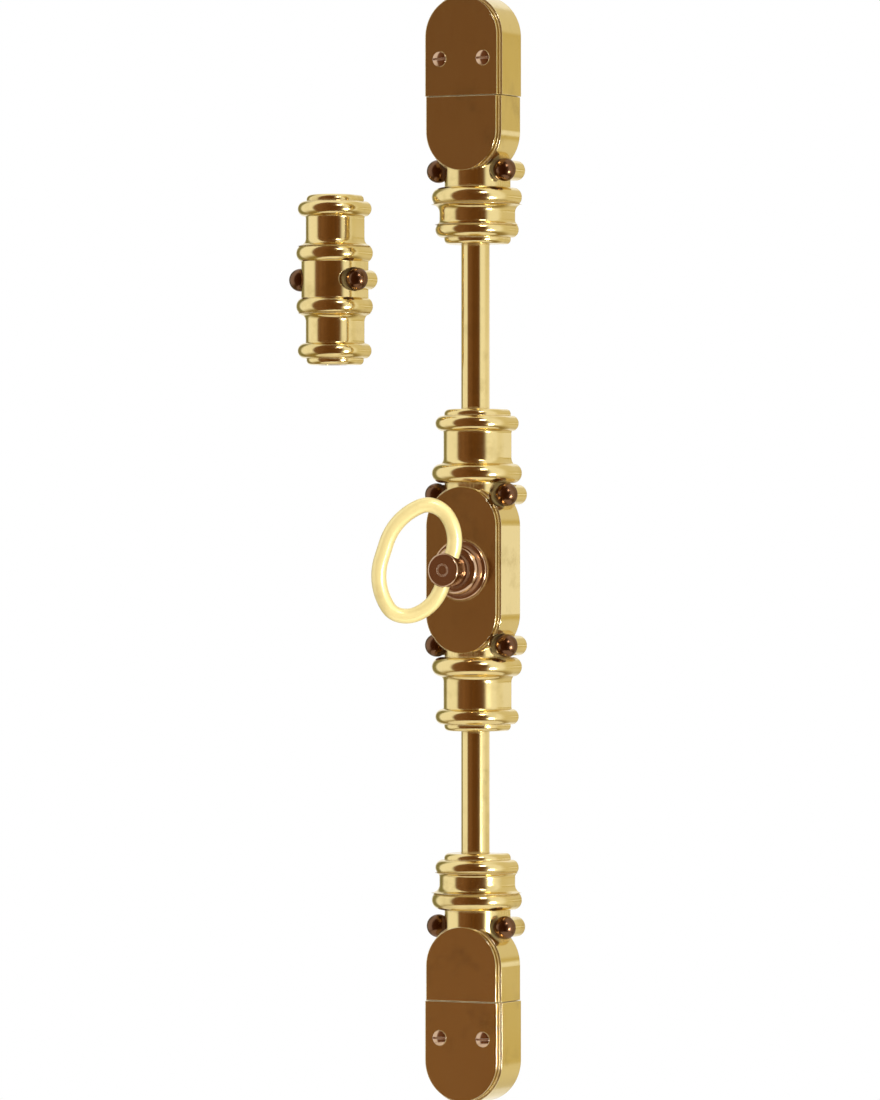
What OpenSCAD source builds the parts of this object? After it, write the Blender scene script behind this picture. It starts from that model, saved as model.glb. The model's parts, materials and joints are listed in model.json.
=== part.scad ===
// Cremone bolt with ring handle: a surface bolt for a tall door or window. Turning the ring half a turn drives
// two rods apart through a pinion and two racks, into a keep at the head and a keep at the foot.
// Every piece is drawn lying on the door: x across, y up along the rods, z out from the door. on_door()
// stands it up, so that the rods run along +Z and the front faces -Y. The origin is on the door, behind the spindle.

/* [Rods] */
// Diameter of the round rods
rod_d = 14; // [12:0.5:15]
// Height of the rods' axis above the door
rod_h = 8; // [8:0.1:10.5]
// Distance from the spindle up to the seam between upper guide and upper keep
upper_reach = 232; // [205:1:900]
// Distance from the spindle down to the seam between lower guide and lower keep
lower_reach = 211; // [205:1:900]
// How far a locked rod's tip stands in its keep
tip_engage = 17.5; // [12:0.5:22]
// Chamfer round a rod's tip
tip_chamfer = 1.2; // [0.5:0.1:2]

/* [Gear case] */
// Width of the gear case
case_w = 41; // [39:0.5:46]
// Length of the case's box, from one round end to the other
case_len = 84; // [80:1:100]
// Height of the flat front faces above the rods' axis
face_up = 15.5; // [15:0.5:20.5]
// Depth of the step along the front edges
edge_step = 3.4; // [1:0.1:4]
// Width of the ledge at the foot of that step
edge_ledge = 1.3; // [0.5:0.1:2]
// Wall of the castings
wall = 3.2; // [2.5:0.1:3.5]
// Front wall of the case, which carries the bush
front_wall = 8; // [7:0.25:9.5]
// Rim of the case round the base plate
plate_rim = 1.8; // [1.2:0.1:2.4]
// Thickness of the base plate
plate_t = 2; // [1.8:0.1:2.2]

/* [Turned collars] */
// Diameter of the core between a body's round end and its bead
core_d = 30.4; // [26:0.2:32.6]
// Diameter of the bead
bead_d = 43; // [40:0.5:46]
// Width of the bead
bead_w = 9.5; // [7:0.5:11]
// Diameter of the lip near the collar's end
lip_d = 39.5; // [38:0.5:42]
// Width of the lip
lip_w = 7.6; // [6:0.2:9]
// Distance of the lip's middle from the collar's end
lip_back = 7; // [5:0.25:8]
// Radius of the cove between bead and neck
bead_cove = 4; // [2:0.25:4.5]
// Radius of the cove between lip and neck
lip_cove = 2.2; // [1:0.2:3]
// Step where a cove meets its bead
quirk = 1.2; // [0.6:0.1:1.6]
// Radius of the rounded rim of a collar's end
cap_r = 2.4; // [1:0.2:3]
// Neck diameter on the gear case
case_neck_d = 31.5; // [30:0.5:36]
// Distance of the bead's middle from the tip of the case's round end
case_bead_at = 5.5; // [5:0.25:8]
// Length of a collar of the case, from the tip of the round end
case_collar = 37; // [35:0.5:45]

/* [Rod guides] */
// Width of the upper and lower guides
guide_w = 41; // [39:0.5:44]
// Straight stretch of a guide, from its seam
guide_straight = 17; // [14:0.5:24]
// Neck diameter on the guides
guide_neck_d = 35.5; // [33:0.5:37]
// Distance of the bead's middle from the tip of the guide's round end
guide_bead_at = 11.5; // [10:0.25:14]
// Length of the guide's collar, from the tip of the round end
guide_collar = 34.5; // [32:0.5:40]

/* [Keeps] */
// Width of the keeps
keep_w = 42; // [40:0.5:46]
// Straight stretch of a keep, from its seam
keep_straight = 29; // [26:0.5:40]
// Gap of the seam between guide and keep
seam_gap = 0.3; // [0.1:0.1:0.8]
// Wall round the screw bosses inside a keep
boss_wall = 2.1; // [2:0.1:2.6]
// Distance of the keep's screws from the seam
keep_screw_at = 18; // [14:0.5:24]

/* [Loose guide] */
// Distance of the loose guide to the left of the rods
loose_x = 80; // [60:0.5:140]
// Height of the loose guide's middle above the spindle
loose_up = 144; // [0:1:300]
// Length of the loose guide
loose_len = 84.5; // [76:0.5:100]
// Diameter of its middle band
loose_band_d = 31.5; // [30:0.5:36]
// Diameter of its beads
loose_bead_d = 36.5; // [35:0.5:42]
// Diameter of its necks
loose_neck_d = 27; // [26:0.5:33]
// Diameter of its lips
loose_lip_d = 35; // [34:0.5:40]
// Distance of a bead's middle from the loose guide's middle
loose_bead_at = 13.2; // [12:0.2:15]
// Distance of its screws from its axis
loose_screw_x = 16; // [15:0.25:18]

/* [Screws] */
// Diameter of the dome-headed screws' heads
dome_d = 11.4; // [10:0.2:13]
// Straight band below the dome
dome_band = 0.8; // [0.4:0.1:1.5]
// Diameter of the lugs under the domes
lug_d = 9.8; // [9:0.2:12]
// Height of the lugs above the rods' axis
lug_up = 3.5; // [-0.5:0.5:5.5]
// Distance of a case lug's axis inside the case's side
case_lug_in = 1.1; // [0:0.1:2]
// Distance of a case lug's axis from the tip of the round end
case_lug_back = 5; // [4:0.25:6]
// Distance of a guide lug's axis inside the guide's side
guide_lug_in = 2.1; // [1:0.1:3]
// Distance of a guide lug's axis from the tip of the round end
guide_lug_back = 1.5; // [0:0.25:3]
// Diameter of the wood screws' plain shank, inside the castings
plain_d = 4.6; // [4.6:0.1:5.2]
// How far the plain shank stands out of the back
plain_out = 0.3; // [0.2:0.1:1]
// Diameter of the wood screws' threaded shank, in the door
shank_d = 4; // [3.5:0.25:4.5]
// Length of the shank behind the back
shank_out = 3.3; // [3.3:0.1:40]
// Length of the wood screws' points
point_len = 3.2; // [3:0.1:7]
// Head diameter of the keeps' countersunk screws
csk_d = 7.4; // [7:0.2:9.4]
// Rise of the oval heads above the face
csk_rise = 1; // [0.5:0.1:1.8]
// Width of the screw slots
slot_w = 1.1; // [0.8:0.1:1.4]
// Shank diameter of the base plate's screws
plate_screw_d = 3; // [2.5:0.25:3.5]
// Length of the base plate's screws
plate_screw_len = 9; // [7:0.5:11]
// Wall round those screws inside the case
plate_boss_wall = 1.5; // [1:0.1:2]
// Distance of the base plate's screws from the spindle, along the rods
plate_screw_at = 15; // [12:0.5:20]

/* [Handle] */
// Diameter of the spindle's head
head_d = 16.5; // [15:0.25:18]
// Length of the spindle's head
head_len = 10.5; // [10:0.25:13]
// Distance of the ring's hinge behind the front of the head
hinge_back = 5.2; // [4.8:0.1:5.6]
// Diameter of the neck behind the head
neck_d = 12; // [11:0.25:14]
// Length of that neck
neck_len = 1.5; // [1.5:0.25:5]
// Diameter of the spindle's rounded collar
collar_d = 24; // [20:0.5:26]
// Thickness of that collar
collar_t = 5.2; // [3:0.2:6]
// Diameter of the rose, the bush's flange
rose_d = 29.5; // [28:0.5:32]
// Thickness of the rose
rose_t = 2.2; // [1.5:0.1:3]
// Diameter of the spindle's journal
journal_d = 10; // [8.5:0.25:10.5]
// Outer diameter of the bush
bush_d = 14; // [13:0.25:15]
// Outer length of the ring
ring_len = 64; // [60:0.5:80]
// Outer width of the ring
ring_w = 39.6; // [36:0.4:46]
// Diameter of the ring's bar
bar_d = 7.4; // [6:0.1:7.6]
// Straight half-length of the ring's far limb
far_run = 4; // [2:0.5:10]
// Turn of the handle at rest, short of locked, in degrees
handle_tilt = 20; // [0:1:45]
// Swing of the ring at rest, out from the case, in degrees
ring_open = 30; // [5:1:90]

/* [Gear] */
// Module of pinion and racks
gear_module = 1; // [0.9:0.05:1.05]
// Teeth on the pinion
pinion_teeth = 12; // [12:1:13]
// Pressure angle in degrees
pressure_angle = 25; // [25:0.5:27]
// Width of the pinion
pinion_w = 7; // [5.5:0.25:7.5]
// Thickness of the racks
rack_t = 6; // [5:0.25:6.5]
// Metal behind the roots of the racks
rack_back = 2.75; // [2:0.05:3.1]
// Square of the spindle that drives the pinion
square_w = 5; // [4:0.1:5.4]
// Diameter of the spindle's tail
tail_d = 4.8; // [4:0.1:5]
// Thickness of the friction washer
washer_t = 1; // [0.6:0.1:1.3]
// Thickness of the retaining ring
clip_t = 1; // [0.8:0.1:1.2]
// Outer diameter of washer and retaining ring
clip_d = 15; // [13:0.5:17]
// Depth of the retaining ring's groove
groove = 1; // [0.5:0.1:1.5]
// Width of a rack's stem
stem_w = 8; // [6:0.25:8.5]
// Length of a rack's foot along the rods
foot_len = 6; // [4:0.25:7]
// Length of a rack's stem between foot and rod
stem_len = 12; // [10:0.5:14]
// Length of a rack's tongue in its rod
tongue = 10; // [8:0.5:14]
// Diameter of the pin through rod and tongue
pin_d = 4; // [3:0.25:4.5]

/* [Fits] */
// Running clearance round shafts and rods
run_gap = 0.08; // [0.03:0.01:0.1]
// Clearance of seated pieces
seat_gap = 0.03; // [0.02:0.01:0.06]
// Room between pieces that pass each other
free_gap = 0.5; // [0.3:0.05:0.6]
// Room round the dome heads in their spot faces
head_room = 0.2; // [0.2:0.05:0.5]
// Thinning of each gear tooth for backlash
backlash = 0.16; // [0.1:0.02:0.25]

/* [Hidden] */
$fn = 72;
brass = "#c9a24a";
dark_brass = "#8a5a2c";
steel = "#a8acb0";
sides = [-1, 1];
eps = 0.5;

// Lengths worked out along the rods
case_end = case_len / 2;
case_straight = case_end - case_w / 2;
guide_end = guide_straight + guide_w / 2;
guide_len = guide_end + guide_collar;
pitch_r = gear_module * pinion_teeth / 2;
tooth_pitch = PI * gear_module;
addendum = gear_module;
dedendum = 1.25 * gear_module;
throw = PI * pitch_r;
rest_short = throw * handle_tilt / 180;
foot_at = pitch_r + addendum + free_gap + throw - rest_short;
rod_end = foot_at + foot_len + stem_len;
rod_end_in = rod_end - throw + rest_short;
rack_x = pitch_r + dedendum + rack_back;
bore_d = rod_d + 2 * run_gap;

// Heights worked out from the door
face_h = rod_h + face_up;
lug_h = rod_h + lug_up;
cavity_h = face_h - front_wall;
pinion_top = rod_h + pinion_w / 2;
pinion_foot = rod_h - pinion_w / 2;
boss_h = rod_h - max(pinion_w, rack_t) / 2 - free_gap;
washer_at = cavity_h - seat_gap - washer_t;
clip_at = washer_at - seat_gap - clip_t;
collar_at = face_h + rose_t + run_gap;
neck_at = collar_at + collar_t;
head_at = neck_at + neck_len;
head_front = head_at + head_len;
hinge_h = head_front - hinge_back;

// Places of the screws
case_lug = [case_w / 2 - case_lug_in, case_end - case_lug_back];
guide_lug = [guide_w / 2 - guide_lug_in, guide_end - guide_lug_back];
csk_depth = (csk_d - plain_d) / 2;
boss_d = plain_d + 2 * boss_wall;
keep_screw_x = rod_d / 2 + free_gap + boss_d / 2 + seat_gap;
plate_boss_d = plate_screw_d + 2 * plate_boss_wall;
plate_screw_x = case_w / 2 - wall - plate_boss_d / 2 + seat_gap;
plate_head_d = 1.9 * plate_screw_d;

module on_door() {
    rotate([90, 0, 0]) children();
}

module along_rods(from) {
    translate([0, from, rod_h]) rotate([-90, 0, 0]) children();
}

module mirrored_across() {
    for (side = [0, 1]) mirror([side, 0, 0]) children();
}

// Half of a body's cross-section: x from its middle, y out from its base, outer top corner rounded
module half_section(w, h, r) {
    square([w / 2, h - r]);
    square([w / 2 - r, h]);
    translate([w / 2 - r, h - r]) circle(r);
}

// Half of a casting's cross-section: a step runs along the front edge and leaves a narrow ledge
module stepped_section(w) {
    square([w / 2, face_h - edge_step]);
    square([w / 2 - edge_ledge, face_h]);
}

// Cast body from y = 0, straight and then round, with a step along its front edge
module arch_body(w, straight) {
    translate([0, straight, 0]) rotate([90, 0, 0]) linear_extrude(straight) mirrored_across() stepped_section(w);
    translate([0, straight, 0]) rotate_extrude(angle = 180) stepped_section(w);
}

// Straight-sided hollow with a round end, up to height h
module arch_hollow(w, straight, h) {
    translate([-w / 2, 0, -eps]) cube([w, straight, h + eps]);
    translate([0, straight, -eps]) cylinder(d = w, h = h + eps);
}

// Stadium with round ends about the spindle
module stadium(w, straight, h) {
    translate([-w / 2, -straight, 0]) cube([w, 2 * straight, h]);
    for (end = sides) translate([0, end * straight, 0]) cylinder(d = w, h = h);
}

// Cove that runs out from radius r over its own height
module cove_section(r, cove) {
    difference() {
        square([r + cove, cove]);
        translate([r + cove, cove]) circle(cove);
    }
}

// Round moulding of a given outer radius and width, with its middle at y = 0
module bead_section(r, w) {
    translate([0, -w / 2]) square([r - w / 2, w]);
    translate([r - w / 2, 0]) circle(d = w);
}

// Half profile of a turned collar: x is the radius, y runs along the rods from the tip of the body
module collar_section(core_r, core_from, bead_r, bead_at, neck_r, lip_r, end) {
    lip_at = end - lip_back;
    translate([0, core_from]) square([core_r, bead_at - core_from]);
    translate([0, bead_at]) bead_section(bead_r, bead_w);
    translate([0, bead_at + bead_w / 2 - quirk]) cove_section(neck_r, bead_cove);
    translate([0, bead_at]) square([neck_r, lip_at - bead_at]);
    translate([0, lip_at - lip_w / 2 + quirk]) mirror([0, 1]) cove_section(neck_r, lip_cove);
    translate([0, lip_at]) bead_section(lip_r, lip_w);
    translate([0, lip_at]) half_section(2 * lip_r - lip_w - quirk, lip_back, cap_r);
}

// Turns a half profile about the rods in front of their axis and runs it straight down to the door behind it
module half_turned(from) {
    along_rods(from) rotate([0, 0, 180]) rotate_extrude(angle = 180) children();
    translate([0, from, 0]) linear_extrude(rod_h) mirrored_across() children();
}

// Round screw lugs, each with a web that ties it to the middle of its casting
module lugs(places) {
    for (place = places) {
        translate([place.x, place.y, 0]) cylinder(d = lug_d, h = lug_h);
        translate([min(place.x, 0), place.y - lug_d / 2, 0]) cube([abs(place.x), lug_d, lug_h]);
    }
}

module screw_holes(places, h) {
    for (place = places) translate([place.x, place.y, -eps]) cylinder(d = plain_d + 2 * seat_gap, h = h + 2 * eps);
}

// Holes through the lugs, with a spot face that clears the dome heads
module dome_seats(places) {
    screw_holes(places, lug_h);
    for (place = places) translate([place.x, place.y, lug_h]) cylinder(d = dome_d + 2 * head_room, h = face_h);
}

function four_places(p) = [for (sx = sides, sy = sides) [sx * p.x, sy * p.y]];
function two_places(p) = [for (sx = sides) [sx * p.x, p.y]];

// Wood screw below its head: plain shank through the casting, thinner shank and point behind the back
module shank(top) {
    translate([0, 0, -plain_out]) cylinder(d = plain_d, h = plain_out + top);
    translate([0, 0, -shank_out]) cylinder(d = shank_d, h = shank_out);
    translate([0, 0, -shank_out - point_len]) cylinder(d1 = shank_d / 8, d2 = shank_d, h = point_len);
}

module dome_screw() {
    shank(lug_h);
    translate([0, 0, lug_h]) cylinder(d = dome_d, h = dome_band);
    translate([0, 0, lug_h + dome_band]) rotate_extrude() intersection() {
        circle(d = dome_d);
        square(dome_d);
    }
}

// Spherical cap over a head of diameter d, rising by rise
module oval_cap(d, rise) {
    cap_ball = (d * d / 4 + rise * rise) / (2 * rise);
    rotate_extrude() intersection() {
        translate([0, rise - cap_ball]) circle(cap_ball);
        square([d / 2, rise]);
    }
}

module oval_head_screw() {
    difference() {
        union() {
            shank(face_h - csk_depth);
            translate([0, 0, face_h - csk_depth]) cylinder(d1 = plain_d, d2 = csk_d, h = csk_depth);
            translate([0, 0, face_h]) oval_cap(csk_d, csk_rise);
        }
        translate([-csk_d, -slot_w / 2, face_h]) cube([2 * csk_d, slot_w, 2 * csk_rise]);
    }
}

module guide_casting() {
    inner_w = guide_w - 2 * wall;
    difference() {
        union() {
            arch_body(guide_w, guide_straight);
            half_turned(guide_end) collar_section(core_d / 2, -core_d / 2, bead_d / 2, guide_bead_at,
                guide_neck_d / 2, lip_d / 2, guide_collar);
            lugs(two_places(guide_lug));
        }
        translate([0, wall, 0]) arch_hollow(inner_w, guide_straight - wall, face_h - wall);
        along_rods(-eps) cylinder(d = bore_d, h = guide_len + 2 * eps);
        dome_seats(two_places(guide_lug));
    }
}

module keep_casting() {
    inner_w = keep_w - 2 * wall;
    screw_places = two_places([keep_screw_x, keep_screw_at]);
    difference() {
        union() {
            difference() {
                arch_body(keep_w, keep_straight);
                translate([0, wall, 0]) arch_hollow(inner_w, keep_straight - wall, face_h - wall);
            }
            for (place = screw_places) translate([place.x, place.y, 0]) cylinder(d = boss_d, h = face_h - wall / 2);
        }
        along_rods(-eps) cylinder(d = rod_d + 2 * free_gap, h = wall + 2 * eps);
        screw_holes(screw_places, face_h);
        for (place = screw_places) translate([place.x, place.y, face_h - csk_depth])
            cylinder(d1 = plain_d + 2 * seat_gap, d2 = csk_d + 2 * seat_gap, h = csk_depth);
    }
}

module main_case() {
    inner_w = case_w - 2 * wall;
    plate_places = four_places([plate_screw_x, plate_screw_at]);
    color(brass) on_door() difference() {
        union() {
            difference() {
                union() {
                    for (end = [0, 1]) mirror([0, end, 0]) {
                        arch_body(case_w, case_straight);
                        half_turned(case_end) collar_section(core_d / 2, -core_d / 2, bead_d / 2, case_bead_at,
                            case_neck_d / 2, lip_d / 2, case_collar);
                    }
                    lugs(four_places(case_lug));
                }
                translate([0, 0, -eps]) stadium(inner_w, case_straight, cavity_h + eps);
            }
            for (place = plate_places) translate([place.x, place.y, plate_t])
                cylinder(d = plate_boss_d, h = cavity_h - plate_t + eps);
        }
        translate([0, 0, -eps]) stadium(case_w - 2 * plate_rim, case_straight, plate_t + eps);
        for (end = [0, 1]) mirror([0, end, 0]) along_rods(case_straight)
            cylinder(d = bore_d, h = case_w / 2 + case_collar + eps);
        translate([0, 0, cavity_h - eps]) cylinder(d = bush_d + 2 * seat_gap, h = front_wall + 2 * eps);
        dome_seats(four_places(case_lug));
        for (place = plate_places) translate([place.x, place.y, plate_t - eps])
            cylinder(d = plate_screw_d + 2 * seat_gap, h = plate_screw_len + eps);
    }
}

// Back plate, slotted at both ends for the rods when they are drawn in
module base_plate() {
    color(dark_brass) on_door() difference() {
        union() {
            stadium(case_w - 2 * plate_rim - 2 * seat_gap, case_straight, plate_t);
            cylinder(d = tail_d + 2 * wall, h = boss_h);
        }
        translate([0, 0, plate_t / 2]) cylinder(d = tail_d + 2 * run_gap, h = boss_h);
        for (end = [0, 1]) mirror([0, end, 0]) translate([-rod_d / 2 - free_gap, rod_end_in - free_gap, -eps])
            cube([rod_d + 2 * free_gap, case_len, plate_t + 2 * eps]);
        for (place = four_places([plate_screw_x, plate_screw_at])) translate([place.x, place.y, 0]) {
            translate([0, 0, -eps]) cylinder(d = plate_screw_d + 2 * seat_gap, h = plate_t + 2 * eps);
            cylinder(d1 = plate_head_d + 2 * seat_gap, d2 = plate_screw_d + 2 * seat_gap,
                h = (plate_head_d - plate_screw_d) / 2);
        }
    }
}

module base_plate_screws() {
    color(steel) on_door() for (place = four_places([plate_screw_x, plate_screw_at]))
        translate([place.x, place.y, 0]) difference() {
            union() {
                cylinder(d = plate_screw_d, h = plate_screw_len);
                cylinder(d1 = plate_head_d, d2 = plate_screw_d, h = (plate_head_d - plate_screw_d) / 2);
            }
            translate([-plate_head_d, -slot_w / 2, -slot_w / 2]) cube([2 * plate_head_d, slot_w, slot_w]);
        }
}

module case_screws() {
    color(dark_brass) on_door() for (place = four_places(case_lug)) translate([place.x, place.y, 0]) dome_screw();
}

module front_bush() {
    color(dark_brass) on_door() difference() {
        union() {
            translate([0, 0, cavity_h]) cylinder(d = bush_d, h = front_wall + eps);
            translate([0, 0, face_h]) rotate_extrude() half_section(rose_d, rose_t, rose_t / 2);
        }
        translate([0, 0, cavity_h - eps])
            cylinder(d = journal_d + 2 * run_gap, h = front_wall + rose_t + 2 * eps);
    }
}

module cross_hole(d) {
    rotate([0, 0, -handle_tilt]) rotate([90, 0, 0]) cylinder(d = d, h = 2 * head_d, center = true);
}

module spindle() {
    color(dark_brass) on_door() difference() {
        union() {
            translate([0, 0, boss_h - plate_t]) cylinder(d = tail_d, h = pinion_foot - boss_h + plate_t);
            translate([-square_w / 2, -square_w / 2, pinion_foot]) cube([square_w, square_w, pinion_w]);
            translate([0, 0, pinion_top]) cylinder(d = journal_d, h = collar_at - pinion_top);
            translate([0, 0, collar_at + collar_t / 2]) rotate_extrude() bead_section(collar_d / 2, collar_t);
            translate([0, 0, neck_at]) cylinder(d = neck_d, h = neck_len);
            translate([0, 0, head_at]) rotate_extrude() half_section(head_d, head_len, head_d / 16);
        }
        translate([0, 0, hinge_h]) cross_hole(bar_d + 2 * run_gap);
        translate([0, 0, head_front]) rotate_extrude() translate([head_d / 6, 0]) circle(d = head_d / 20);
        translate([0, 0, clip_at - seat_gap]) difference() {
            cylinder(d = journal_d + eps, h = clip_t + 2 * seat_gap);
            translate([0, 0, -eps]) cylinder(d = journal_d - 2 * groove, h = clip_t + 3 * eps);
        }
    }
}

// Half of the tooth's angle at radius r, in degrees
function roll(angle) = tan(angle) * 180 / PI - angle;
function tooth_half(r) = (tooth_pitch / 4 - backlash / 2) / pitch_r * 180 / PI + roll(pressure_angle)
    - roll(acos(min(1, pitch_r * cos(pressure_angle) / r)));
function on_circle(r, angle) = [r * cos(angle), r * sin(angle)];

// One tooth about angle zero: up one involute flank and down the other
flank_steps = 5;
base_r = pitch_r * cos(pressure_angle);
function flank_r(step) = base_r + (pitch_r + addendum - base_r) * step / flank_steps;
function tooth_points(turn) = concat(
    [on_circle(pitch_r - dedendum, turn - tooth_half(base_r))],
    [for (step = [0 : flank_steps]) on_circle(flank_r(step), turn - tooth_half(flank_r(step)))],
    [for (step = [flank_steps : -1 : 0]) on_circle(flank_r(step), turn + tooth_half(flank_r(step)))],
    [on_circle(pitch_r - dedendum, turn + tooth_half(base_r))]);

module pinion() {
    color(brass) on_door() translate([0, 0, pinion_foot]) difference() {
        linear_extrude(pinion_w)
            polygon([for (tooth = [0 : pinion_teeth - 1]) each tooth_points(tooth * 360 / pinion_teeth)]);
        translate([-square_w / 2 - seat_gap, -square_w / 2 - seat_gap, -eps])
            cube([square_w + 2 * seat_gap, square_w + 2 * seat_gap, pinion_w + 2 * eps]);
    }
}

module friction_washer() {
    color(steel) on_door() translate([0, 0, washer_at]) difference() {
        cylinder(d = clip_d, h = washer_t);
        translate([0, 0, -eps]) cylinder(d = journal_d + 2 * seat_gap, h = washer_t + 2 * eps);
    }
}

module retaining_ring() {
    mouth = journal_d - 3 * groove;
    color(steel) on_door() translate([0, 0, clip_at]) difference() {
        cylinder(d = clip_d, h = clip_t);
        translate([0, 0, -eps]) cylinder(d = journal_d - 2 * groove + 2 * seat_gap, h = clip_t + 2 * eps);
        translate([-mouth / 2, 0, -eps]) cube([mouth, clip_d, clip_t + 2 * eps]);
    }
}

// Oval ring: each limb turns ring_turn degrees on a wide shoulder arc and the rest on a crown arc, which is thinner
// by ring_ease all round and runs ring_lap degrees into the shoulder
ring_turn = 50;
ring_ease = 0.02;
ring_lap = 2;
ring_a = (ring_len - bar_d) / 2;
ring_b = (ring_w - bar_d) / 2;
hinge_run = head_d / 2 + free_gap;
turn_sum = 1 - cos(ring_turn) - sin(ring_turn);
function shoulder_r(rise) = (ring_b * (1 - sin(ring_turn)) - rise * cos(ring_turn)) / turn_sum;
function crown_r(rise) = ((1 - cos(ring_turn)) * rise - sin(ring_turn) * ring_b) / turn_sum;

// Half of the ring, with a limb along y at x = 0 and both crowns at x = ring_b
module half_ring(run) {
    shoulder = shoulder_r(ring_a - run);
    crown = crown_r(ring_a - run);
    rotate([90, 0, 0]) cylinder(d = bar_d, h = 2 * run, center = true);
    for (end = [0, 1]) mirror([0, end, 0]) {
        translate([shoulder, run, 0]) rotate_extrude(angle = ring_turn, start = 180 - ring_turn)
            translate([shoulder, 0]) circle(d = bar_d);
        translate([ring_b, ring_a - crown, 0]) rotate_extrude(angle = 90 - ring_turn + ring_lap, start = 90)
            translate([crown, 0]) circle(d = bar_d - 2 * ring_ease);
    }
}

module ring_handle() {
    color(brass) on_door() translate([0, 0, hinge_h]) rotate([0, 0, -handle_tilt]) rotate([0, ring_open, 0])
        mirror([1, 0, 0]) {
            half_ring(hinge_run);
            translate([2 * ring_b, 0, 0]) mirror([1, 0, 0]) half_ring(far_run);
        }
}

// Rod that runs up from its forked end at rod_end to its tip in the keep
module rod_bar(reach) {
    tip = reach + tip_engage - rest_short;
    slot = rack_t + 2 * seat_gap;
    difference() {
        along_rods(rod_end) {
            cylinder(d = rod_d, h = tip - rod_end - tip_chamfer);
            translate([0, 0, tip - rod_end - tip_chamfer])
                cylinder(d1 = rod_d, d2 = rod_d - 2 * tip_chamfer, h = tip_chamfer);
        }
        translate([-rod_d, rod_end - eps, rod_h - slot / 2]) cube([2 * rod_d, tongue + seat_gap + eps, slot]);
        translate([0, rod_end + tongue / 2, 0]) cylinder(d = pin_d + 2 * seat_gap, h = 2 * rod_h);
    }
}

// Outline of one tooth of the rack, from its upper root to its lower root
function rack_tooth(at) = [
    [pitch_r + dedendum, at + tooth_pitch / 4 - backlash / 2 + dedendum * tan(pressure_angle)],
    [pitch_r - addendum, at + tooth_pitch / 4 - backlash / 2 - addendum * tan(pressure_angle)],
    [pitch_r - addendum, at - tooth_pitch / 4 + backlash / 2 + addendum * tan(pressure_angle)],
    [pitch_r + dedendum, at - tooth_pitch / 4 + backlash / 2 - dedendum * tan(pressure_angle)]];
last_tooth = ceil((throw - rest_short) / tooth_pitch) + 1;
first_tooth = -ceil(rest_short / tooth_pitch) - 1;

module rack_bar() {
    difference() {
        translate([0, 0, rod_h - rack_t / 2]) linear_extrude(rack_t) {
            polygon(concat(
                [[rack_x, first_tooth * tooth_pitch], [rack_x, foot_at + eps], [pitch_r + dedendum, foot_at + eps]],
                [for (tooth = [last_tooth - 1 : -1 : first_tooth]) each rack_tooth((tooth + 0.5) * tooth_pitch)],
                [[pitch_r + dedendum, first_tooth * tooth_pitch]]));
            translate([-stem_w / 2, foot_at]) square([rack_x + stem_w / 2, foot_len]);
            translate([-stem_w / 2, foot_at]) square([stem_w, rod_end + tongue - foot_at]);
        }
        translate([0, rod_end + tongue / 2, 0]) cylinder(d = pin_d + 2 * seat_gap, h = 2 * rod_h);
    }
}

module rack_pin() {
    reach = sqrt(rod_d * rod_d - pin_d * pin_d) - 2 * seat_gap;
    translate([0, rod_end + tongue / 2, rod_h]) cylinder(d = pin_d, h = reach, center = true);
}

module upper_rod() { color(brass) on_door() rod_bar(upper_reach); }
module upper_rack() { color(steel) on_door() rack_bar(); }
module upper_rack_pin() { color(steel) on_door() rack_pin(); }

module lower_rod() { color(brass) on_door() rotate([0, 0, 180]) rod_bar(lower_reach); }
module lower_rack() { color(steel) on_door() rotate([0, 0, 180]) rack_bar(); }
module lower_rack_pin() { color(steel) on_door() rotate([0, 0, 180]) rack_pin(); }

// The end units are drawn from their seam; the upper ones stand at upper_reach, the lower ones at lower_reach
module at_upper_seam(shift) {
    on_door() translate([0, upper_reach + shift, 0]) children();
}

module at_lower_seam(shift) {
    on_door() translate([0, -lower_reach - shift, 0]) mirror([0, 1, 0]) children();
}

module guide_screws() {
    for (place = two_places(guide_lug)) translate([place.x, place.y, 0]) dome_screw();
}

module keep_screws() {
    for (place = two_places([keep_screw_x, keep_screw_at])) translate([place.x, place.y, 0]) oval_head_screw();
}

module upper_guide() { color(brass) at_upper_seam(0) mirror([0, 1, 0]) guide_casting(); }
module upper_guide_screws() { color(dark_brass) at_upper_seam(0) mirror([0, 1, 0]) guide_screws(); }
module upper_keep() { color(brass) at_upper_seam(seam_gap) keep_casting(); }
module upper_keep_screws() { color(dark_brass) at_upper_seam(seam_gap) keep_screws(); }
module lower_guide() { color(brass) at_lower_seam(0) mirror([0, 1, 0]) guide_casting(); }
module lower_guide_screws() { color(dark_brass) at_lower_seam(0) mirror([0, 1, 0]) guide_screws(); }
module lower_keep() { color(brass) at_lower_seam(seam_gap) keep_casting(); }
module lower_keep_screws() { color(dark_brass) at_lower_seam(seam_gap) keep_screws(); }

module loose_guide() {
    color(brass) on_door() translate([-loose_x, loose_up, 0]) difference() {
        union() {
            for (end = [0, 1]) mirror([0, end, 0]) half_turned(0) collar_section(loose_band_d / 2, 0,
                loose_bead_d / 2, loose_bead_at, loose_neck_d / 2, loose_lip_d / 2, loose_len / 2);
            lugs(two_places([loose_screw_x, 0]));
        }
        along_rods(-loose_len / 2 - eps) cylinder(d = bore_d, h = loose_len + 2 * eps);
        dome_seats(two_places([loose_screw_x, 0]));
    }
}

module loose_guide_screws() {
    color(dark_brass) on_door() translate([-loose_x, loose_up, 0])
        for (place = two_places([loose_screw_x, 0])) translate([place.x, place.y, 0]) dome_screw();
}

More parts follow.
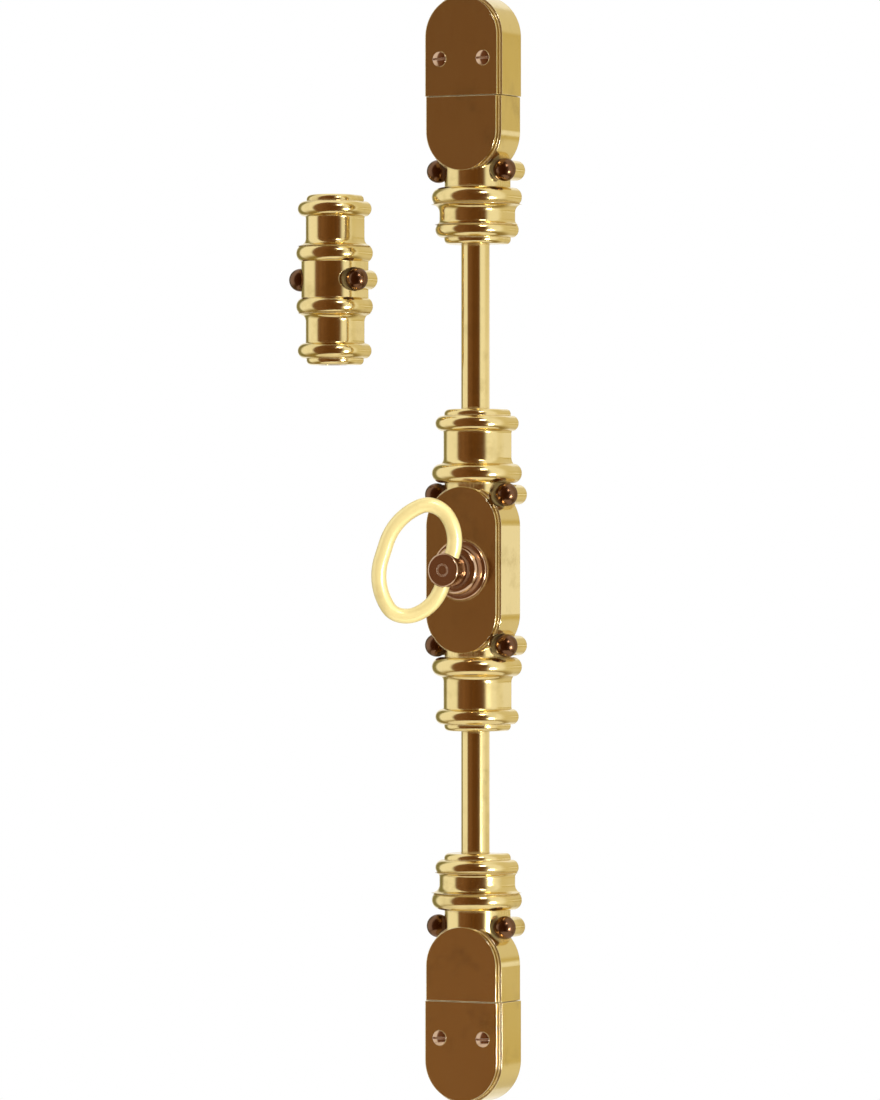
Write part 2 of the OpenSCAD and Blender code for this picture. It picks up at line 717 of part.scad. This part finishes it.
main_case();
base_plate();
base_plate_screws();
case_screws();
front_bush();
spindle();
pinion();
friction_washer();
retaining_ring();
ring_handle();
upper_rod();
upper_rack();
upper_rack_pin();
lower_rod();
lower_rack();
lower_rack_pin();
upper_guide();
upper_guide_screws();
upper_keep();
upper_keep_screws();
lower_guide();
lower_guide_screws();
lower_keep();
lower_keep_screws();
loose_guide();
loose_guide_screws();
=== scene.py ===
import json
import math
import bpy
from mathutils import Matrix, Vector


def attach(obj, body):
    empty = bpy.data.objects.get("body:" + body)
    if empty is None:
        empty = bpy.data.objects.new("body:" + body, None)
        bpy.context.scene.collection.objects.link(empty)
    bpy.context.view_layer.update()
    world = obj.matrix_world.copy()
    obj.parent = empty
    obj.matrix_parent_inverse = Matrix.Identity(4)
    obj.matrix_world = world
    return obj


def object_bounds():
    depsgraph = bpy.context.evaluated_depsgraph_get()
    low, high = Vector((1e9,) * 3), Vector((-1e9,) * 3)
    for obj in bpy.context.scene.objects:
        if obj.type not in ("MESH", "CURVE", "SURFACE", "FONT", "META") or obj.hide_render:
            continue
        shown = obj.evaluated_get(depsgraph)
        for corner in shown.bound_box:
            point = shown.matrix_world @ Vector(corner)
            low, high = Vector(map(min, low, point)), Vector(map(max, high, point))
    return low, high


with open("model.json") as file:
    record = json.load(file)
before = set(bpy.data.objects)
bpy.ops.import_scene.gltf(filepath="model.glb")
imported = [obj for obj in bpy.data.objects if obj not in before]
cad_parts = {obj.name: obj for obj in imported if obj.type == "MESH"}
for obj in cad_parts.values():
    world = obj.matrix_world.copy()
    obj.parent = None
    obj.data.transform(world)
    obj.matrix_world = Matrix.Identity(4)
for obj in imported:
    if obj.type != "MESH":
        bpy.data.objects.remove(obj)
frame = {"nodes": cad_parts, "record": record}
cad_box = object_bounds()
scene = bpy.context.scene
MM = 0.001

# The view: a long lens to the right of the front, level with the spindle
FRAME_W, FRAME_H = 880, 1100
PX_PER_M = 2036
VIEW_RIGHT_DEG = 28
CAMERA_AWAY = 3.3
ROD_AXIS_PX = 475.5
SPINDLE_PX = 570
ROD_AXIS = Vector((0, -8 * MM, 0))
FLOOR_BELOW = 0.25

# Metal: how near a wall makes a hollow, and where the cutter's flats under the screw heads lie
HOLLOW_MM = 3
SPOT_FACE_Y = -11.5 * MM


class Value:
    """A socket that joins sums, so that an expression adds its Math nodes."""

    def __init__(self, tree, socket):
        self.tree = tree
        self.socket = socket

    def math(self, operation, *others):
        return self.tree.node("ShaderNodeMath", {"operation": operation}, self, *others)[0]

    def __add__(self, other):
        return self.math("ADD", other)

    def __sub__(self, other):
        return self.math("SUBTRACT", other)

    def __mul__(self, other):
        return self.math("MULTIPLY", other)

    def __neg__(self):
        return self * -1

    def __radd__(self, other):
        return self + other

    def __rmul__(self, other):
        return self * other

    def __rsub__(self, other):
        return self.tree.node("ShaderNodeMath", {"operation": "SUBTRACT"}, other, self)[0]


class Tree:
    """The nodes of one material or of the world."""

    def __init__(self, owner):
        owner.use_nodes = True
        self.nodes = owner.node_tree.nodes
        self.links = owner.node_tree.links
        self.nodes.clear()

    def feed(self, socket, value):
        if isinstance(value, Value):
            self.links.new(value.socket, socket)
        else:
            socket.default_value = value

    def node(self, kind, settings=None, *inputs, **named):
        made = self.nodes.new(kind)
        for name, value in (settings or {}).items():
            setattr(made, name, value)
        for socket, value in zip(made.inputs, inputs):
            self.feed(socket, value)
        for name, value in named.items():
            self.feed(made.inputs[name.replace("_", " ")], value)
        return [Value(self, socket) for socket in made.outputs]

    def output(self, kind, surface):
        made = self.nodes.new(kind)
        self.links.new(surface.socket, made.inputs["Surface"])

    def fade(self, value, low, high):
        """0 below low, 1 above high, smooth between them."""
        smooth = {"interpolation_type": "SMOOTHSTEP"}
        return self.node("ShaderNodeMapRange", smooth, value, low, high, 0.0, 1.0)[0]

    def band(self, value, rise_from, rise_to, fall_from, fall_to):
        """0 outside, 1 between rise_to and fall_from."""
        return self.fade(value, rise_from, rise_to) * (1 - self.fade(value, fall_from, fall_to))

    def blend(self, amount, a, b):
        """Colour a where amount is 0, b where it is 1."""
        made = self.nodes.new("ShaderNodeMix")
        made.data_type = "RGBA"
        for name, value in (("Factor_Float", amount), ("A_Color", a), ("B_Color", b)):
            self.feed(next(s for s in made.inputs if s.identifier == name), value)
        return Value(self, next(s for s in made.outputs if s.identifier == "Result_Color"))


def rgb(r, g, b):
    return (r, g, b, 1.0)


def new_material(name):
    material = bpy.data.materials.new(name)
    return material, Tree(material)


def spot_face(tree):
    """1 on the cutter's flats under the domed screw heads, which stay matt."""
    geometry = tree.node("ShaderNodeNewGeometry")
    depth = tree.node("ShaderNodeSeparateXYZ", None, geometry[0])[1]
    facing = tree.node("ShaderNodeSeparateXYZ", None, geometry[3])[1]
    off = (depth - SPOT_FACE_Y).math("ABSOLUTE")
    return off.math("LESS_THAN", 0.2 * MM) * facing.math("LESS_THAN", -0.95)


def metal(name, colour, tarnish_and_shade, roughness, edge_mm, ripple_mm, metallic=1.0):
    """Polished metal: tarnished clouds, painted shade in the hollows, polishing marks, a painted highlight
    along the edges, slightly wavy faces.
    """
    material, tree = new_material(name)
    place = tree.node("ShaderNodeTexCoord")[3]
    drawn_out = tree.node("ShaderNodeVectorMath", {"operation": "MULTIPLY"}, place, (1.0, 1.0, 0.05))[0]
    clouds = tree.node("ShaderNodeTexNoise", None, Vector=place, Scale=55.0, Detail=4.0, Roughness=0.6)[0]
    marks = tree.node("ShaderNodeTexNoise", None, Vector=drawn_out, Scale=1600.0, Detail=2.0)[0]
    ripples = tree.node("ShaderNodeTexNoise", None, Vector=place, Scale=42.0, Detail=0.0)[0]
    soft = tree.node("ShaderNodeBevel", {"samples": 6}, edge_mm * MM)[0]
    bumped = tree.node("ShaderNodeBump", None, Distance=ripple_mm * MM, Height=ripples, Normal=soft)[0]
    open_sky = tree.node("ShaderNodeAmbientOcclusion", {"samples": 4}, Distance=HOLLOW_MM * MM)[1]
    # Painted shade: hollows found by ambient occlusion take the darker colour and turn rougher and less
    # metallic
    hollow = 1 - tree.fade(open_sky, 0.25, 0.75)
    # Tarnished clouds at random, plus the painted shade in the hollows
    tarnish_and_hollow_shade = 0.45 * tree.fade(clouds, 0.5, 0.78) + 0.5 * hollow
    # Painted highlight: convex edges, where the softened normal turns away from the true one, get a paler
    # brass colour
    flat = tree.node("ShaderNodeNewGeometry")[3]
    turned = 1 - tree.node("ShaderNodeVectorMath", {"operation": "DOT_PRODUCT"}, soft, flat)[1]
    edge = tree.fade(turned, 0.03, 0.2) * (1 - hollow)
    painted_edge_highlight_colour = rgb(*(channel ** 0.5 for channel in colour))
    cut = spot_face(tree)
    surface = tree.node(
        "ShaderNodeBsdfPrincipled",
        None,
        Base_Color=tree.blend(edge, tree.blend(tarnish_and_hollow_shade, rgb(*colour), rgb(*tarnish_and_shade)), painted_edge_highlight_colour),
        Roughness=roughness + 0.05 * marks + 0.08 * tarnish_and_hollow_shade + 0.2 * hollow + 0.3 * cut,
        Metallic=metallic * (1 - 0.7 * hollow),
        Normal=bumped,
    )[0]
    tree.output("ShaderNodeOutputMaterial", surface)
    return material


# Colour, colour of the tarnished clouds and of the painted shade in hollows, roughness, softened edge and
# wave in mm
FINISHES = {
    "polished_brass": metal("polished_brass", (0.84, 0.67, 0.30), (0.44, 0.31, 0.09), 0.13, 0.5, 0.12),
    "turned_brass": metal("turned_brass", (0.62, 0.42, 0.27), (0.36, 0.22, 0.12), 0.14, 0.25, 0.03),
    "steel": metal("bright_steel", (0.62, 0.62, 0.62), (0.42, 0.41, 0.40), 0.18, 0.2, 0.02),
}
SATIN_BRASS = metal("satin_brass", (0.93, 0.80, 0.36), (0.62, 0.46, 0.17), 0.26, 0.2, 0.05, 0.25)
BRONZED = metal("bronzed", (0.18, 0.09, 0.045), (0.10, 0.05, 0.025), 0.2, 0.2, 0.02)

OWN_FINISH = {
    "ring_handle": SATIN_BRASS,
    "case_screws": BRONZED,
    "upper_guide_screws": BRONZED,
    "lower_guide_screws": BRONZED,
    "loose_guide_screws": BRONZED,
}

slot_of = {part["node"]: part["material_slot"] for part in frame["record"]["subparts"]}
for name, piece in frame["nodes"].items():
    piece.data.materials.clear()
    piece.data.materials.append(OWN_FINISH.get(name, FINISHES[slot_of[name]]))

# Screw threads behind the back: size of the ridge, and where the shank turns into the point
THREAD_PITCH = 1.5 * MM
THREAD_HALF = 0.3 * THREAD_PITCH
THREAD_RISE = 0.3 * MM
THREAD_FROM = 0.7 * MM
POINT_FROM = 3.3 * MM
POINT_TIP = 6.5 * MM
STEPS_PER_TURN = 24


def add_threads(mount):
    """One helical ridge round each shank of a screw pattern."""
    dims = mount["dims"]
    root = dims["stud_r_mm"] * MM
    middle = Vector(mount["pos_m"])
    half_x = dims["spacing_x_mm"] * MM / 2
    half_z = dims.get("spacing_y_mm", 0) * MM / 2
    verts, faces = [], []
    steps = int((POINT_TIP - THREAD_HALF - THREAD_FROM) / THREAD_PITCH * STEPS_PER_TURN)
    for x in (-half_x, half_x):
        for z in sorted({-half_z, half_z}):
            first = len(verts)
            faces.append((first, first + 2, first + 1))
            for step in range(steps):
                turn = 2 * math.pi * step / STEPS_PER_TURN
                depth = THREAD_FROM + THREAD_PITCH * step / STEPS_PER_TURN
                thick = root * min(1, (POINT_TIP - depth) / (POINT_TIP - POINT_FROM))
                ridge = ((0.9 * thick, -THREAD_HALF), (thick + THREAD_RISE, 0), (0.9 * thick, THREAD_HALF))
                for radius, aside in ridge:
                    spot = Vector((x + radius * math.cos(turn), depth + aside, z + radius * math.sin(turn)))
                    verts.append(middle + spot)
                if step:
                    last = len(verts) - 3
                    for a, b in ((0, 1), (1, 2), (2, 0)):
                        faces.append((last + a - 3, last + b - 3, last + b, last + a))
            faces.append((last, last + 1, last + 2))
    mesh = bpy.data.meshes.new(mount["name"] + "_threads")
    mesh.from_pydata(verts, [], faces)
    mesh.materials.append(FINISHES["turned_brass"])
    threads = bpy.data.objects.new(mesh.name, mesh)
    scene.collection.objects.link(threads)
    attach(threads, "fixed")


for mount in frame["record"]["mounts"]:
    if mount["kind"] == "bolt_pattern":
        add_threads(mount)


def dress_world():
    """White all round, with a dark brown room in front for the fronts to mirror and warm cards behind."""
    world = bpy.data.worlds.new("studio")
    scene.world = world
    tree = Tree(world)
    deg = math.radians
    facing = tree.node("ShaderNodeTexCoord")[0]
    x, y, z = tree.node("ShaderNodeSeparateXYZ", None, facing)
    turn = x.math("ARCTAN2", -y)
    rise = z.math("ARCSINE")
    aside = rise.math("ABSOLUTE")

    # The room, lighter to the left and uneven, with an open ceiling
    across = tree.fade(turn, deg(-30), deg(30))
    brown = tree.blend(across, rgb(0.20, 0.095, 0.045), rgb(0.127, 0.05, 0.013))
    shapes = tree.node("ShaderNodeTexNoise", None, Vector=facing, Scale=20.0, Detail=1.0)[0]
    uneven = 0.6 + 0.8 * tree.fade(shapes, 0.35, 0.65)
    brown = tree.node("ShaderNodeVectorMath", {"operation": "SCALE"}, brown, Scale=uneven)[0]
    room = tree.band(turn, deg(-46), deg(-35), deg(57), deg(72)) * (1 - tree.fade(rise, deg(76), deg(86)))

    # Warm cards behind, above and below a white gap at eye level
    warm = tree.fade(aside, deg(1.2), deg(3.8)) * (1 - 0.4 * tree.fade(aside, deg(5), deg(10)))
    warm = warm * (1 - tree.fade(aside, deg(45), deg(75))) * tree.fade(turn, deg(100), deg(125))
    around = tree.blend(warm, rgb(1, 1, 1), rgb(0.60, 0.49, 0.19))

    # An olive card at the left that draws the left edges, and the ground
    left = tree.band(turn, deg(-140), deg(-126), deg(-106), deg(-92))
    left = left * (1 - tree.fade(aside, deg(30), deg(55)))
    around = tree.blend(left, around, rgb(0.26, 0.24, 0.11))
    around = tree.blend(tree.fade(rise, deg(-48), deg(-18)), rgb(0.30, 0.22, 0.08), around)

    mirrored = tree.blend(room, around, brown)
    seen = tree.node("ShaderNodeLightPath")[0]
    sky = tree.node("ShaderNodeBackground", None, tree.blend(seen, mirrored, rgb(1, 1, 1)), 1.0)[0]
    tree.output("ShaderNodeOutputWorld", sky)


def lay_floor():
    """Pale round floor, well below the lower keep."""
    foot = cad_box[0].z - FLOOR_BELOW
    bpy.ops.mesh.primitive_circle_add(vertices=96, radius=0.45, fill_type="NGON", location=(0, 0, foot))
    floor = bpy.context.object
    floor.name = "floor"
    material, tree = new_material("pale_floor")
    seen = tree.node("ShaderNodeLightPath")[0]
    matt = tree.node("ShaderNodeBsdfDiffuse", None, rgb(0.9, 0.9, 0.9))[0]
    white = tree.node("ShaderNodeEmission", None, rgb(1, 1, 1), 1.0)[0]
    surface = tree.node("ShaderNodeMixShader", None, seen * 0.9, matt, white)[0]
    tree.output("ShaderNodeOutputMaterial", surface)
    floor.data.materials.append(material)


def set_camera():
    right = math.radians(VIEW_RIGHT_DEG)
    towards = Vector((math.sin(right), -math.cos(right), 0))
    sideways = Vector((math.cos(right), math.sin(right), 0))
    upwards = Vector((0, 0, 1))
    off_x = (FRAME_W / 2 - ROD_AXIS_PX) / PX_PER_M
    off_z = (SPINDLE_PX - FRAME_H / 2) / PX_PER_M
    data = bpy.data.cameras.new("view")
    data.sensor_width = 36
    data.lens = data.sensor_width * PX_PER_M * CAMERA_AWAY / FRAME_H
    camera = bpy.data.objects.new("view", data)
    scene.collection.objects.link(camera)
    camera.location = ROD_AXIS + sideways * off_x + upwards * off_z + towards * CAMERA_AWAY
    camera.rotation_mode = "QUATERNION"
    camera.rotation_quaternion = (-towards).to_track_quat("-Z", "Y")
    scene.camera = camera


def add_lamp(name, place, width, height, watts, mirrored=True):
    data = bpy.data.lights.new(name, "AREA")
    data.shape = "RECTANGLE"
    data.size = width
    data.size_y = height
    data.energy = watts
    lamp = bpy.data.objects.new(name, data)
    scene.collection.objects.link(lamp)
    lamp.location = place
    lamp.rotation_mode = "QUATERNION"
    lamp.rotation_quaternion = (-lamp.location).to_track_quat("-Z", "Y")
    lamp.visible_camera = False
    lamp.visible_glossy = mirrored


dress_world()
lay_floor()
set_camera()
add_lamp("key_lamp", (1.6, -1.2, 1.8), 0.6, 0.6, 12)
add_lamp("spark_lamp", (1.378, -0.369, -0.464), 0.3, 0.36, 12)
add_lamp("front_lamp", (0.75, -2.0, 0.55), 0.8, 0.8, 30, mirrored=False)
frame["nodes"]["ring_handle"].visible_glossy = False
scene.view_settings.view_transform = "Standard"
